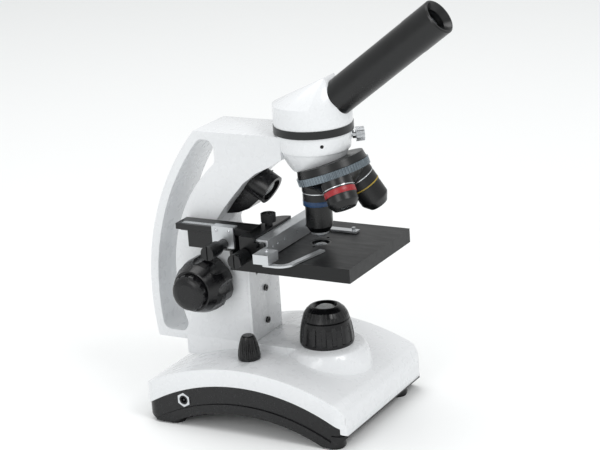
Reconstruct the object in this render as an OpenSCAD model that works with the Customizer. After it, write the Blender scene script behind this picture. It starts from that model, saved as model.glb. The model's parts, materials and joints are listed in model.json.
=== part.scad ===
// Monocular compound microscope with a carrying handle, a three-place nosepiece,
// a mechanical stage, a lamp in the base and a second lamp above the stage.
// X runs to the viewer's right, the eyepiece tube points to -Y, +Z is up.
// Every sub-part is written about the optical axis and then moved back by y_shift,
// so that the origin is under the middle of the whole instrument.

/* [Base] */
// Width of the base
base_w = 147.2; // [130:0.2:170]
// Reach of the base in front of the optical axis
base_front = 52.8; // [50:0.2:62]
// Reach of the base behind the optical axis
base_back = 140.6; // [130:0.2:170]
// Wall of the base casting
base_wall = 3; // [2:0.5:4]
// Height of the lamp seat above the table
seat_z = 62.4; // [61:0.2:70]
// Radius of each rubber foot
foot_r = 7.5; // [5:0.5:8]

/* [Arm] */
// Width of the arm and column
arm_w = 49; // [44:0.5:60]
// Front face of the column, behind the optical axis
column_y = 57; // [57:0.5:62]
// Height of the arm's flat top
arm_top = 245; // [240:0.5:262]
// Thickness of the carrying handle
handle_t = 7.5; // [6:0.5:10]
// Wall between the focus channel and the outside of the arm
channel_wall = 4.5; // [3.5:0.5:6]

/* [Head] */
// Outer radius of the ring between arm and head
ring_r = 32.9; // [31:0.1:36]
// Tilt of the eyepiece tube above the horizontal
tube_tilt = 37; // [30:1:45]
// Distance from the bend of the light path to the end of the eyepiece
tube_reach = 146.2; // [135:0.2:170]
// Length of the tube below the eyepiece cap
tube_split = 118; // [110:0.5:124]
// Bore of the eyepiece tube
tube_bore = 23.2; // [20:0.1:24]

/* [Nosepiece] */
// Angle between the turret axis and each objective
turret_tilt = 18; // [16:0.5:19]
// Height of the point where all objective axes meet
apex_z = 262; // [258:0.5:266]
// Outer radius of the knurled turret ring
turret_r = 30.7; // [29:0.1:32]
// Length of the low-power objective from the turret face
low_l = 18; // [16:0.5:26]
// Length of the medium-power objective from the turret face
mid_l = 30; // [25:0.5:36]
// Length of the high-power objective from the turret face
high_l = 39; // [36:0.5:40]

/* [Stage] */
// Side of the square stage
stage_w = 110; // [100:1:114]
// Height of the stage surface
stage_z = 150.3; // [149:0.1:151]
// Depth of the stage skirt
skirt_h = 11.9; // [9:0.1:12]
// Radius of the hole over the condenser
aperture_r = 9; // [8:0.5:12]

/* [Focus] */
// Height of the focus shaft
focus_z = 117.5; // [112:0.5:119]
// Place of the focus shaft behind the optical axis
focus_y = 91; // [88:0.5:94]
// Radius of the coarse focus knobs
coarse_r = 23.5; // [20:0.5:24]
// Radius of the fine focus knobs
fine_r = 15.5; // [13:0.5:16]

/* [Slide holder] */
// Front face of the slide holder's bar behind the optical axis
bar_y = 20; // [19:0.5:22]
// Radius of the two small travel knobs
small_knob_r = 6; // [5:0.5:6.5]

/* [Fits] */
// Radial clearance of a turning or sliding fit
run_fit = 0.05; // [0.02:0.01:0.08]
// Gap between faces that pass each other
gap = 0.3; // [0.2:0.05:0.4]

/* [Hidden] */
$fn = 96;
e = 0.01;

// Radius of an arc that falls by drop from the middle of the base to its ends
function base_arc(drop) = pow(base_front + base_back, 2) / (8 * drop) + drop / 2;

// Base profile: arcs seen from the side, centred near the middle of the base
base_mid = (base_back - base_front) / 2 - 1.9;
roof_r = base_arc(23.845);
roof_top = 57.4;
edge_r = base_arc(28.181);
edge_top = 42.5;
arch_r = base_arc(31.306);
arch_top = 18.3;
lip_h = 8;
tray_inset = 1.2;
tray_wall = 2.5;
corner_r = 12;
foot_x = [-base_w / 2 + 9.6, base_w / 2 - 23.6];
foot_y = [-base_front + 14.8, base_back - 25.6];
foot_places = [for (x = foot_x, y = foot_y) [x, y]];
boss_x = [-base_w / 2 + 28.6, base_w / 2 - 11.6];
boss_y = [-base_front + 19.8, base_back - 19.6];
screw_places = [for (x = boss_x, y = boss_y) [x, y]];
boss_r = 4;
jack_at = [-base_w / 2, 100.5, 23.8];
thread_fit = 0.05;
jack_r = 4;
dimmer_at = [-base_w / 2 + 28.6, 50];
bush_r = 4.5;
shaft_r = 3;
dimmer_z = 58;

// Arm profile: arcs seen from the side
back_c = [-66, 98];
back_r = 222;
slot_c = [-2, 118];
slot_r = 131;
slot_x = 82;
slot_top = arm_top - 7;
slot_floor = 65;
channel_w = arm_w - 2 * channel_wall;
cover_t = 3;
channel_z0 = 67;
channel_z1 = 143;
shelf_z = 146;

// Head and tube
seat_top = arm_top + 1.4;
ring_h = 6.6;
spigot_r = 21;
bend_z = seat_top + 10.1;
tube_r = 14.8;
tube_start = 26;
eyepiece_r = 15;
prism_w = 24;

// Nosepiece
face_l = apex_z - 195.5;
plate_l0 = 42.3;
plate_l1 = 48.3;
turret_l0 = plate_l1 + 0.2;
turret_l1 = 54.5;
thread_r = 10.16;
thread_l = 4.5;
path_r = 8;
low_turn = 120;
mid_turn = 240;

// Focus drive
tooth_module = 0.8;
pinion_teeth = 15;
pinion_r = tooth_module * pinion_teeth / 2;
rack_y = focus_y - pinion_r;
hub_r = 5;
fine_shaft_r = 2;
knob_x = arm_w / 2 + 1;
fine_x = 34;
press = 0.02;
carriage_w = 22;
carriage_t = 10;
carriage_y = rack_y - 1.6 - 5 - carriage_t;
bracket_w = 24;
disc_y = 18;
lens_r = 7.4;
bracket_z0 = stage_z - 18.3;

// Slide holder
rail_x1 = -arm_w / 2 - 2.5;
rail_x0 = rail_x1 - 18;
runner_x0 = rail_x1 - 11;
runner_x1 = rail_x1 - 7;
rail_z = stage_z + 19.7;
rail_t = 5;
gib_y0 = stage_w / 2 + 0.5;
gib_y1 = stage_w / 2 + 21;
bar_z0 = stage_z + 0.7;
bar_z1 = bar_z0 + 15;
bar_x0 = -52;
bar_x1 = 40;
y_knob_at = [0, stage_w / 2 + 10, stage_z + 6.7];
x_knob_at = [0, bar_y + 20, stage_z + 2.4];
small_knob_face = -73.5;
screw_at = [-21, bar_y + 16.2];
finger_pin = [-68, bar_y - 7];

y_reach = tube_reach * cos(tube_tilt) + eyepiece_r * sin(tube_tilt);
y_back = back_c[0] + back_r;
y_shift = (y_reach - y_back) / 2;

WHITE = [0.93, 0.94, 0.94];
BLACK = [0.10, 0.10, 0.11];
DARK = [0.19, 0.19, 0.20];
SILVER = [0.75, 0.76, 0.77];
BRASS = [0.72, 0.58, 0.32];
GLASS = [0.75, 0.85, 0.90, 0.5];

// ---- helpers ----

// Moves a sub-part from the optical axis to the instrument's own origin
module place() translate([0, y_shift, 0]) children();

// Extrudes a side view (drawn as Y to the right, Z up) across the width w
module across(w, x = 0) translate([x, 0, 0]) rotate([90, 0, 90]) linear_extrude(w, center = true)
    children();

// A cylinder along X from x0 to x1
module x_cyl(r, x0, x1, y, z) translate([x0, y, z]) rotate([0, 90, 0]) cylinder(r = r, h = x1 - x0);

// A disc seen from the side
module disc(y, z, r) translate([y, z]) circle(r);

// Turret frame: origin where the objective axes meet, -Z down the turret axis
module turret_frame() translate([0, 0, apex_z]) rotate([-turret_tilt, 0, 0]) children();

// Objective frame: -Z down the axis of the objective at the given turret place
module objective_frame(turn) turret_frame() rotate([0, 0, turn]) rotate([turret_tilt, 0, 0]) children();

// Tube frame: origin where the light path bends, +Z along the eyepiece tube
module tube_frame() translate([0, 0, bend_z]) rotate([90 - tube_tilt, 0, 0]) children();

// A box between two corners
module box(a, b) translate(a) cube(b - a);

// A ring of n cutters of radius r around the circle of radius at
module flutes(n, at, r, h) for (i = [0:n - 1]) rotate([0, 0, i * 360 / n]) translate([at, 0, -e])
    cylinder(r = r, h = h + 2 * e, $fn = 24);

// ---- base ----

// Plan of the base with round corners, inset by d
module base_plan(d) {
    r = corner_r - d;
    for (x = [-1, 1], y = [-base_front + corner_r, base_back - corner_r])
        translate([x * (base_w / 2 - corner_r), y, -5]) cylinder(r = r, h = 90);
    box([-base_w / 2 + corner_r, -base_front + d, -5], [base_w / 2 - corner_r, base_back - d, 85]);
    box([-base_w / 2 + d, -base_front + corner_r, -5], [base_w / 2 - d, base_back - corner_r, 85]);
}

// Side view of the casting: arched roof, sloping nose, lower edge on the tray's arc
module casting_side() difference() {
    intersection() {
        disc(base_mid, roof_top - roof_r, roof_r);
        polygon([[-base_front + 1.4, 12.1], [-base_front, 17.7], [-base_front + 3.3, 32.2],
            [-base_front + 9, 39.5], [-base_front + 9, 70], [base_back - 3.3, 70],
            [base_back - 3.3, 34.8], [base_back, 11], [base_back, 5], [-base_front + 6, 5],
            [-base_front + 6, 14.6]]);
    }
    intersection() {
        disc(base_mid, edge_top - edge_r, edge_r);
        translate([-base_front + 6, -20]) square([base_front + base_back, 90]);
    }
}

module casting_hollow() intersection() {
    disc(base_mid, roof_top - roof_r, roof_r - base_wall);
    translate([-base_front + 8, -5]) square([base_front + base_back - 8 - 2 * base_wall, 80]);
}

// Raised seat for the lamp, drawn out backwards under the column
module lamp_seat() {
    rotate_extrude() polygon([[0, 40], [38, 40], [36, 52], [33.5, 58.5], [31, seat_z - 0.8],
        [29, seat_z], [0, seat_z]]);
    box([-arm_w / 2, 0, 45], [arm_w / 2, 124, seat_z]);
}

module base_casting() color(WHITE) place() difference() {
    union() {
        intersection() {
            base_plan(0);
            across(base_w) casting_side();
        }
        difference() {
            intersection() {
                base_plan(2 * base_wall);
                union() {
                    lamp_seat();
                    intersection() {
                        union() {
                            for (p = screw_places) translate([p[0], p[1], 22])
                                cylinder(r = boss_r, h = 40);
                            translate([dimmer_at[0], dimmer_at[1], 52.5]) cylinder(r = 10, h = 20);
                        }
                        across(base_w) disc(base_mid, roof_top - roof_r, roof_r - 1);
                    }
                }
            }
            translate([0, 0, 40]) cylinder(r = 18, h = seat_z - 40 - base_wall);
        }
    }
    difference() {
        intersection() {
            base_plan(base_wall);
            across(base_w) casting_hollow();
        }
        for (p = screw_places) translate([p[0], p[1], 0]) cylinder(r = boss_r, h = 70);
        translate([dimmer_at[0], dimmer_at[1], 52.5]) cylinder(r = 10, h = 10);
        rotate_extrude() polygon([[18, 30], [24, 44], [24, 70], [18, 70]]);
    }
    for (p = screw_places) translate([p[0], p[1], 10]) cylinder(r = 1.25, h = 24);
    translate([dimmer_at[0], dimmer_at[1], 40]) cylinder(r = bush_r + thread_fit, h = 30);
    translate([0, 0, seat_z - 10]) cylinder(r = 3, h = 20);
}

module tray_side() intersection() {
    difference() {
        disc(base_mid, edge_top - edge_r, edge_r);
        disc(base_mid, arch_top - arch_r, arch_r);
    }
    polygon([[-base_front + 6, 60], [-base_front + 6, 14.5], [-base_front + 1.4, 12],
        [-base_front + 1.4, 10.8], [-base_front + 12.8, 1.5], [base_back - 12, 1.5],
        [base_back - 4.6, 4.9], [base_back, 10.6], [base_back, 60]]);
}

module tray_hollow() difference() {
    translate([-base_front + 8.5, -5]) square([base_front + base_back - 12, 70]);
    disc(base_mid, arch_top - arch_r, arch_r + tray_wall);
    polygon([[-base_front, 14], [-base_front + 16, 4.5], [base_back - 13, 4.5], [base_back - 6, 8],
        [base_back - 3, 14], [base_back, 14], [base_back, -10], [-base_front, -10]]);
}

module base_tray() color(BLACK) place() difference() {
    union() {
        difference() {
            union() {
                intersection() {
                    base_plan(tray_inset);
                    across(base_w) tray_side();
                }
                intersection() {
                    base_plan(0);
                    across(base_w) intersection() {
                        tray_side();
                        union() {
                            disc(base_mid, arch_top - arch_r, arch_r + lip_h);
                            translate([-base_front, -5]) square([14, 17.1]);
                        }
                    }
                }
            }
            difference() {
                intersection() {
                    base_plan(tray_inset + tray_wall);
                    across(base_w) tray_hollow();
                }
                box([-40, -base_front, 0], [40, -26, 13.3]);
            }
            box([-37.5, -base_front - 1, -1], [37.5, -28.5, 10.8]);
        }
        intersection() {
            base_plan(tray_inset);
            union() {
                for (p = foot_places) translate([p[0], p[1], 1.5]) cylinder(r = foot_r + 1, h = 5);
                for (p = screw_places) translate([p[0], p[1], 1.5]) cylinder(r = boss_r, h = 18);
                difference() {
                    for (x = [-12, 12], y = [78, 112]) translate([x, y, 0]) cylinder(r = 2.5, h = 26);
                    across(base_w) disc(base_mid, arch_top - arch_r, arch_r + 1);
                }
            }
        }
    }
    for (p = foot_places) translate([p[0], p[1], -1]) cylinder(r = foot_r, h = 3.5);
    for (p = screw_places) translate([p[0], p[1], -1]) {
        cylinder(r = 1.6, h = 40);
        cylinder(r = 3, h = 5);
    }
    x_cyl(jack_r + thread_fit, jack_at[0] - 5, jack_at[0] + 8, jack_at[1], jack_at[2]);
}

module rubber_feet() color(BLACK) place() for (p = foot_places) translate([p[0], p[1], 0])
    cylinder(r = foot_r, h = 2.5);

module tray_screws() color(SILVER) place() for (p = screw_places) translate([p[0], p[1], 2])
    difference() {
    union() {
        cylinder(r = 2.8, h = 2);
        cylinder(r = 1.2, h = 26);
    }
    translate([0, 0, -e]) cylinder(r = 1.2, h = 1, $fn = 6);
}

// Coaxial mains adapter socket: threaded barrel through the tray wall, plastic body inside
module power_jack() color(BLACK) place() difference() {
    union() {
        x_cyl(jack_r, jack_at[0], jack_at[0] + 5, jack_at[1], jack_at[2]);
        x_cyl(6, jack_at[0] + 4.2, jack_at[0] + 14, jack_at[1], jack_at[2]);
    }
    difference() {
        x_cyl(2.75, jack_at[0] - 1, jack_at[0] + 7.5, jack_at[1], jack_at[2]);
        x_cyl(1, jack_at[0] + 0.6, jack_at[0] + 8, jack_at[1], jack_at[2]);
    }
}

// Hexagon nuts of the power socket and the dimmer
module panel_nuts() color(SILVER) place() {
    difference() {
        x_cyl(6.4, jack_at[0], jack_at[0] + tray_inset, jack_at[1], jack_at[2], $fn = 6);
        x_cyl(jack_r + thread_fit, jack_at[0] - 5, jack_at[0] + 8, jack_at[1], jack_at[2]);
    }
    translate([dimmer_at[0], dimmer_at[1], dimmer_z - 0.5]) difference() {
        cylinder(r = 6, h = 2.4, $fn = 6);
        translate([0, 0, -1]) cylinder(r = bush_r + thread_fit, h = 5);
    }
}

// Printed circuit board with the lamp's current regulator, on four pillars
module power_board() color("darkgreen") place() {
    box([-18, 74, 26], [18, 116, 27.6]);
    box([-8, 80, 27.6], [2, 90, 32]);
    translate([8, 100, 27.6]) cylinder(r = 4, h = 9);
    box([-14, 98, 27.6], [-2, 108, 31]);
}

module dimmer_pot() color(SILVER) place() translate([dimmer_at[0], dimmer_at[1], 0]) difference() {
    union() {
        translate([0, 0, 43.5]) cylinder(r = 8.5, h = 9);
        translate([0, 0, 52]) cylinder(r = bush_r, h = 9.5);
    }
    translate([0, 0, 46]) cylinder(r = shaft_r + run_fit, h = 20);
}

module dimmer_shaft() color(SILVER) place() translate([dimmer_at[0], dimmer_at[1], 46.5])
    cylinder(r = shaft_r, h = 28);

// Tall ribbed brightness knob
module dimmer_knob() color(BLACK) place() translate([dimmer_at[0], dimmer_at[1], dimmer_z]) difference() {
    rotate_extrude() polygon([[0, 0], [9.5, 0], [9.5, 3], [8.9, 8], [7.8, 13], [6.4, 17.5], [5.4, 19.6],
        [4.4, 20.3], [0, 20.3]]);
    translate([0, 0, -e]) cylinder(r = 7.2, h = 4.2);
    translate([0, 0, -e]) cylinder(r = shaft_r + press, h = 17);
    for (i = [0:15]) rotate([0, 0, i * 22.5]) translate([10.1, 0, 2.2]) rotate([0, -11.5, 0])
        cylinder(r = 1.15, h = 22, $fn = 24);
}

// ---- lamp in the base ----

module lamp_heatsink() color(SILVER) place() translate([0, 0, seat_z]) difference() {
    cylinder(r = 14, h = 6);
    translate([0, 0, -e]) cylinder(r = 3, h = 10);
}

// Light-emitting diode on a round board
module led(board_r) {
    cylinder(r = board_r, h = 1.6);
    translate([0, 0, 1.6 - e]) cylinder(r = 2.5, h = 1.2);
    translate([0, 0, 2.7]) intersection() {
        sphere(2.5);
        cylinder(r = 3, h = 3);
    }
}

module led_boards() color("gold") place() {
    translate([0, 0, seat_z + 6]) led(10);
    top_lamp_frame() translate([0, 0, 12]) mirror([0, 0, 1]) led(8);
}

// Scalloped bell of the lamp
module lamp_housing() color(BLACK) place() translate([0, 0, seat_z]) difference() {
    rotate_extrude() polygon([[17, 0], [22.4, 0], [23, 1.5], [23, 4.5], [22.5, 10], [21.5, 16],
        [20.2, 21], [19.4, 21.6], [15, 21.6], [17, 12]]);
    for (i = [0:15]) rotate([0, 0, i * 22.5]) translate([24.6, 0, 3]) rotate([0, -6, 0])
        cylinder(r = 2.6, h = 16, $fn = 24);
}

// Fine-ribbed collar that holds the lamp lens
module lamp_collar() color(BLACK) place() translate([0, 0, seat_z + 21.6]) difference() {
    rotate_extrude() polygon([[12, 0], [19.4, 0], [19.9, 0.6], [18.6, 4.5], [16.4, 8], [13.4, 10.6],
        [11.4, 11.3], [10.4, 11.3], [8.8, 9.6], [8.8, 6], [12, 4]]);
    for (i = [0:35]) rotate([0, 0, i * 10]) translate([20.6, 0, 1]) rotate([0, -27, 0])
        cylinder(r = 0.7, h = 11, $fn = 16);
}

module lamp_lens() color(GLASS) place() translate([0, 0, seat_z + 21.6 + 7]) intersection() {
    translate([0, 0, -9.4]) sphere(14);
    cylinder(r = 8.8, h = 8);
}

// ---- arm ----

module slot_side() offset(r = 8) offset(delta = -8) difference() {
    intersection() {
        disc(back_c[0], back_c[1], back_r - handle_t);
        translate([slot_x, slot_floor]) square([100, slot_top - slot_floor]);
    }
    disc(slot_c[0], slot_c[1], slot_r);
}

// Side view of the arm: column, overhang and handle
module arm_side() difference() {
    intersection() {
        disc(back_c[0], back_c[1], back_r);
        polygon([[column_y + cover_t, seat_z], [column_y + cover_t, shelf_z], [82, shelf_z], [90, 152],
            [90.5, 158], [86, 167], [76, 180.5], [66, 192], [56, 203], [44, 212], [30, 219], [18, 226],
            [18, 230], [18, arm_top], [300, arm_top], [300, 58], [124, 58], [124, 50], [100, 50],
            [100, seat_z]]);
    }
    slot_side();
}

// Bowl under the head, cut off square to the turret axis
module head_bowl() intersection() {
    translate([0, 0, seat_top]) rotate_extrude()
        polygon([[0, -38.4], [12, -37.4], [15.4, -35.4], [18.2, -33.1], [20.2, -30.9], [21.8, -28.5],
        [23.4, -25.9], [24.7, -23.4], [26, -20.9], [27, -18.6], [27.9, -16.4], [28.4, -15.1],
        [29.4, -14.7], [29.9, -13.6], [30.4, -8.2], [30.9, -5], [31.4, -1.9], [31.4, 0], [0, 0]]);
    turret_frame() translate([-60, -60, -plate_l0]) cube([120, 120, 200]);
}

module arm() color(WHITE) place() difference() {
    union() {
        difference() {
            across(arm_w) arm_side();
            base_plug();
        }
        head_bowl();
    }
    // focus channel behind the front cover
    box([-channel_w / 2, column_y - 1, channel_z0], [channel_w / 2, focus_y + pinion_r + 4, channel_z1]);
    // bearing for the coarse focus shaft
    x_cyl(hub_r + run_fit, -arm_w, arm_w, focus_y, focus_z);
    // seat for the head and the light path through the bowl
    translate([0, 0, seat_top - 8]) cylinder(r = spigot_r + run_fit, h = 20);
    translate([0, 0, seat_top - 66]) cylinder(r = path_r + 3, h = 80);
    lock_screw_frame() translate([0, 0, 10]) cylinder(r = 2 + run_fit, h = 40);
    set_screw_frame() translate([0, 0, 10]) cylinder(r = 1.5, h = 40);
    top_lamp_frame() translate([0, 0, 10]) cylinder(r = 3, h = 20);
}

// The part of the base casting that the foot of the arm stands over
module base_plug() intersection() {
    box([-base_w / 2, -base_front, 0], [base_w / 2, 300, 300]);
    union() {
        across(base_w) disc(base_mid, roof_top - roof_r, roof_r);
        box([-arm_w, 0, 40], [arm_w, 124, seat_z]);
    }
}

module front_cover() color(WHITE) place() difference() {
    box([-arm_w / 2, column_y, seat_z], [arm_w / 2, column_y + cover_t, shelf_z]);
    box([-bracket_w / 2 - 1, column_y - 1, bracket_z0 - 12],
        [bracket_w / 2 + 1, column_y + 9, shelf_z + 1]);
    for (z = [75, 104]) translate([0, column_y - 1, z]) rotate([-90, 0, 0]) cylinder(r = 1.6, h = 9);
}

// Socket screws: two in the front cover and one that secures the head
module socket_screws() color(DARK) place() {
    for (z = [75, 104]) translate([0, column_y, z]) rotate([-90, 0, 0]) difference() {
        union() {
            translate([0, 0, -1.6]) cylinder(r = 2.75, h = 1.6);
            cylinder(r = 1.55, h = cover_t);
        }
        translate([0, 0, -1.7]) cylinder(r = 1.4, h = 1.4, $fn = 6);
    }
    set_screw_frame() translate([0, 0, spigot_r + 0.4]) difference() {
        cylinder(r = 1.5, h = 9.2);
        translate([0, 0, 7]) cylinder(r = 0.8, h = 3, $fn = 6);
    }
}

// Two dovetail strips in the channel that guide the focus carriage
module slide_gibs() color(BRASS) place() for (side = [-1, 1]) translate([0, 0, channel_z0])
    linear_extrude(channel_z1 - channel_z0)
    polygon([ [side * channel_w / 2, carriage_y], [side * (carriage_w / 2 + run_fit), carriage_y],
    [side * (carriage_w / 2 + 3 + run_fit), carriage_y + carriage_t],
    [side * channel_w / 2, carriage_y + carriage_t]]);

// Upper lamp frame: origin at the middle of its front face, +Z back into the arm
module top_lamp_frame() translate([0, 43.3, 191.5]) rotate([-59.4, 0, 0]) children();

module top_lamp_body() color(BLACK) place() difference() {
    union() {
        top_lamp_frame() cylinder(r = 13, h = 34);
        across(18) polygon([[50, 186], [62, 176], [72, 172], [86, 170], [60, 204], [46, 206]]);
    }
    across(60) difference() {
        translate([20, 150]) square([100, 90]);
        polygon([[82, shelf_z], [90, 152], [90.5, 158], [86, 167], [76, 180.5], [66, 192], [56, 203],
            [44, 212], [30, 219], [18, 226], [0, 226], [0, 100], [82, 100]]);
    }
    top_lamp_frame() translate([0, 0, -1]) cylinder(r = 10, h = 13);
}

module top_lamp_lens() color(GLASS) place() top_lamp_frame() translate([0, 0, 1]) intersection() {
    cylinder(r = 10, h = 5);
    translate([0, 0, 15]) sphere(15);
}

// ---- head ----

// Clamp screws enter the bowl level with the head's spigot
module lock_screw_frame() translate([0, 0, seat_top - 6.8]) rotate([0, 0, -55]) rotate([0, 90, 0])
    children();
module set_screw_frame() translate([0, 0, seat_top - 6.8]) rotate([0, 0, -140]) rotate([0, 90, 0])
    children();

// Knurled thumb screw that clamps the turning head
module head_lock_screw() color(SILVER) place() lock_screw_frame() {
    translate([0, 0, spigot_r + 0.4]) cylinder(r = 2, h = 14);
    translate([0, 0, 31.2]) cylinder(r = 3.4, h = 3);
    translate([0, 0, 34]) difference() {
        cylinder(r = 6, h = 7);
        flutes(24, 6.3, 0.6, 7);
    }
}

// Black ring of the head with the spigot that turns in the bowl
module head_ring() color(BLACK) place() difference() {
    union() {
        translate([0, 0, seat_top + 0.05]) cylinder(r = ring_r, h = ring_h - 0.05);
        translate([0, 0, seat_top - 7.8]) cylinder(r = spigot_r, h = 10);
        translate([0, 0, seat_top + ring_h - e]) cylinder(r = 20, h = 1.6);
    }
    translate([0, 0, seat_top - 9]) cylinder(r = path_r + 4, h = 30);
}

module head_solid(d) hull() {
    translate([0, 0, seat_top + ring_h]) cylinder(r = ring_r - 0.4 - d, h = 17 - d, $fn = 64);
    tube_frame() translate([0, 0, tube_start - 6 - d]) cylinder(r = 19 - d, h = 6, $fn = 48);
    tube_frame() translate([-9, 14.5 - d, tube_start - 6 - d]) cube([18, 4, 15]);
}

module head_housing() color(WHITE) place() difference() {
    head_solid(0);
    difference() {
        head_solid(3.5);
        for (x = [-prism_w / 2 - 3, prism_w / 2]) translate([x, -ring_r, seat_top])
            cube([3, 2 * ring_r, 60]);
    }
    translate([0, 0, seat_top]) cylinder(r = 20 + run_fit, h = ring_h + 1.6);
    tube_frame() cylinder(r = tube_bore / 2 + 2 + run_fit, h = 60);
    tube_frame() translate([0, 0, tube_start]) cylinder(r = tube_r + run_fit, h = 30);
}

// Glass prism, held between two ribs of the housing, that turns the light into the tube
module prism() color(GLASS) place() translate([-prism_w / 2, 0, bend_z]) rotate([90, 0, 90])
    linear_extrude(prism_w) polygon([[13, -1.5], [13, 5.5], [-8, 20], [-13, 13.5], [-13, -1.5]]);

module eyepiece_tube() color(BLACK) place() tube_frame() difference() {
    union() {
        translate([0, 0, tube_start]) cylinder(r = tube_r, h = tube_split - tube_start);
        translate([0, 0, tube_start - 7]) cylinder(r = tube_bore / 2 + 2, h = 10);
    }
    translate([0, 0, tube_start - 8]) cylinder(r = tube_bore / 2, h = 200);
}

// Drop-in eyepiece: cap above the tube, barrel inside it
module eyepiece_body() color(BLACK) place() tube_frame() difference() {
    union() {
        translate([0, 0, tube_split + 0.05]) rotate_extrude()
            polygon([[0, 0], [eyepiece_r, 0], [eyepiece_r, tube_reach - tube_split - 1],
            [eyepiece_r - 1, tube_reach - tube_split - 0.05], [0, tube_reach - tube_split - 0.05]]);
        translate([0, 0, tube_split - 30]) cylinder(r = tube_bore / 2 - run_fit, h = 31);
    }
    translate([0, 0, tube_split - 31]) cylinder(r = 9.6, h = 70);
    translate([0, 0, tube_reach - 5]) cylinder(r1 = 9.6, r2 = 13, h = 5 + e);
    translate([0, 0, tube_reach - 14]) cylinder(r = 10.6, h = 6);
}

module eye_lens() color(GLASS) place() tube_frame() translate([0, 0, tube_reach - 12]) intersection() {
    cylinder(r = 9.6, h = 5);
    translate([0, 0, -17]) sphere(21);
}

module field_lens() color(GLASS) place() tube_frame() translate([0, 0, tube_split - 26]) intersection() {
    cylinder(r = 9.6, h = 5);
    translate([0, 0, 20]) sphere(20);
}

// ---- nosepiece ----

// Fixed plate under the bowl, with the hole for the light path
module nosepiece_mount() color(BLACK) place() difference() {
    turret_frame() translate([0, 0, -plate_l1]) cylinder(r1 = 29.6, r2 = 28.2, h = plate_l1 - plate_l0);
    turret_frame() translate([0, 0, -plate_l1 - 1]) cylinder(r = 2.5, h = 20);
    translate([0, 0, 180]) cylinder(r = path_r, h = 60);
}

module turret_screw() color(SILVER) place() turret_frame() {
    translate([0, 0, -face_l - 0.3]) cylinder(r = 2.5, h = face_l + 0.3 - plate_l0 - 0.4);
    translate([0, 0, -face_l - 2.2]) difference() {
        cylinder(r = 5, h = 2);
        translate([-6, -0.6, -e]) cube([12, 1.2, 0.8]);
    }
}

// Turning part of the nosepiece with its three threaded seats
module turret_disc() color(BLACK) place() difference() {
    union() {
        turret_frame() translate([0, 0, -turret_l1]) cylinder(r = 27.9, h = turret_l1 - turret_l0);
        turret_frame() translate([0, 0, -face_l + 0.4])
            cylinder(r1 = 14, r2 = 27.9, h = face_l - 0.4 - turret_l1 + e);
        intersection() {
            for (t = [0, low_turn, mid_turn]) objective_frame(t) translate([0, 0, -face_l])
                cylinder(r = 13, h = 18);
            turret_frame() translate([-40, -40, -80]) cube([80, 80, 80 - turret_l1]);
        }
    }
    for (t = [0, low_turn, mid_turn]) objective_frame(t) translate([0, 0, -face_l - 1]) {
        cylinder(r = thread_r, h = thread_l + 1.2);
        cylinder(r = path_r, h = 26);
    }
    turret_frame() translate([0, 0, -80]) cylinder(r = 2.5 + run_fit, h = 60);
}

module turret_ring() color(SILVER) place() turret_frame() translate([0, 0, -turret_l1]) difference() {
    cylinder(r = turret_r, h = turret_l1 - turret_l0);
    translate([0, 0, -1]) cylinder(r = 27.95, h = 12);
    flutes(72, turret_r + 0.35, 0.75, 10);
}

// Barrel of an objective from its outline, measured down from the turret face
module objective(outline, l) difference() {
    translate([0, 0, -face_l]) union() {
        rotate_extrude() polygon(outline);
        cylinder(r = thread_r - 0.05, h = thread_l);
    }
    translate([0, 0, -face_l - l - 1]) cylinder(r = 5, h = l + thread_l + 2);
}

module objective_low() color(BLACK) place() objective_frame(low_turn)
    objective([[0, 0], [13.2, 0], [13.2, -7.4], [12.8, -7.8], [12.8, 5 - low_l], [12.3, 4 - low_l],
    [9.2, -low_l], [0, -low_l]], low_l);

module objective_mid() color(BLACK) place() objective_frame(mid_turn)
    objective([[0, 0], [12.8, 0], [12.8, -10], [12.4, -10.4], [12.4, 6.6 - mid_l], [11.8, 5.4 - mid_l],
    [8, -mid_l], [0, -mid_l]], mid_l);

module objective_high() color(BLACK) place() objective_frame(0) difference() {
    objective([[0, 0], [12.6, 0], [12.6, -12], [11.2, -12.6], [11.2, 9 - high_l], [8.4, 4.3 - high_l],
        [0, 4.3 - high_l]], high_l);
    translate([0, 0, -face_l - high_l]) cylinder(r = 7.4 + run_fit, h = 13);
}

// Front lenses of the three objectives
module objective_lenses() color(GLASS) place() {
    objective_frame(low_turn) translate([0, 0, -face_l - low_l + 0.8]) cylinder(r = 5, h = 2.5);
    objective_frame(mid_turn) translate([0, 0, -face_l - mid_l + 0.8]) cylinder(r = 5, h = 2.5);
    objective_frame(0) translate([0, 0, -face_l - high_l + 14]) cylinder(r = 5, h = 2.5);
}

// Spring-loaded nose of the high-power objective
module objective_nose() color(SILVER) place() objective_frame(0) translate([0, 0, -face_l - high_l])
    difference() {
    rotate_extrude() polygon([[0, 0], [4.2, 0], [6.2, 2], [7.4, 2.4], [7.4, 9.6], [0, 9.6]]);
    translate([0, 0, -e]) cylinder(r = 2, h = 12);
}

// ---- focus drive ----

// Straight-flanked pinion outline
module pinion_2d(n, m) {
    r = n * m / 2;
    circle(r = r - 1.2 * m);
    for (i = [0:n - 1]) rotate((i + 0.5) * 360 / n)
        polygon([[r - 1.4 * m, -0.62 * m], [r, -0.52 * m], [r + 0.8 * m, -0.25 * m],
        [r + 0.8 * m, 0.25 * m], [r, 0.52 * m], [r - 1.4 * m, 0.62 * m]]);
}

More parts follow.
